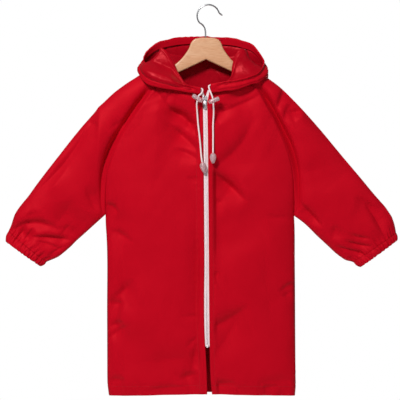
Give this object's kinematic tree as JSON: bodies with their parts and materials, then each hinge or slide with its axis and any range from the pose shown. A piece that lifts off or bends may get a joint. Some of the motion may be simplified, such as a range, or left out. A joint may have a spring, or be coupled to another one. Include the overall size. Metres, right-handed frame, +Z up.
{
  "type": "kids rain jacket on a hanger",
  "caption": "Child's hooded raglan rain jacket with a front zip, gathered cuffs and drawcord ends, hung by its neck on a notched wooden hanger with a wire hook.",
  "frame": {"origin": "inside of the hook's top, where the rail carries it", "axes": "+Z up, front faces -Y, +X to the right as seen from the front"},
  "size_m": [0.8646, 0.113, 0.8609],
  "materials": {
    "coated_cloth": "semi-gloss red coated nylon",
    "zip_tape": "woven white tape",
    "zip_chain": "white moulded or coiled plastic teeth",
    "zip_metal": "nickel-plated zinc casting",
    "cord": "white braided polyester",
    "clear_plastic": "clear moulded plastic",
    "beech": "pale varnished beech",
    "hook_wire": "bright nickel-plated steel wire"
  },
  "bodies": {
    "jacket": {"back_panel": "coated_cloth", "front_left": "coated_cloth", "front_right": "coated_cloth", "sleeve_left_front": "coated_cloth", "sleeve_left_back": "coated_cloth", "sleeve_right_front": "coated_cloth", "sleeve_right_back": "coated_cloth", "cuff_left": "coated_cloth", "cuff_right": "coated_cloth", "hood_left": "coated_cloth", "hood_right": "coated_cloth", "zip_tape_left": "zip_tape", "zip_tape_right": "zip_tape", "zip_chain": "zip_chain", "zip_bottom_stop": "zip_chain", "zip_slider": "zip_metal", "cord_left": "cord", "cord_right": "cord", "cord_lock_left": "clear_plastic", "cord_lock_right": "clear_plastic", "cord_end_left": "clear_plastic", "cord_end_right": "clear_plastic", "hanger_wood": "beech", "hanger_hook": "hook_wire"},
    "zip_pull": {"zip_pull": "zip_metal"}
  },
  "joints": [
    {"name": "pull_swing", "type": "hinge", "parent": "jacket", "child": "zip_pull", "pos_m": [-0.0074, -0.0339, -0.2066], "axis": [-1, 0, 0], "range_deg": [0, 150]}
  ]
}
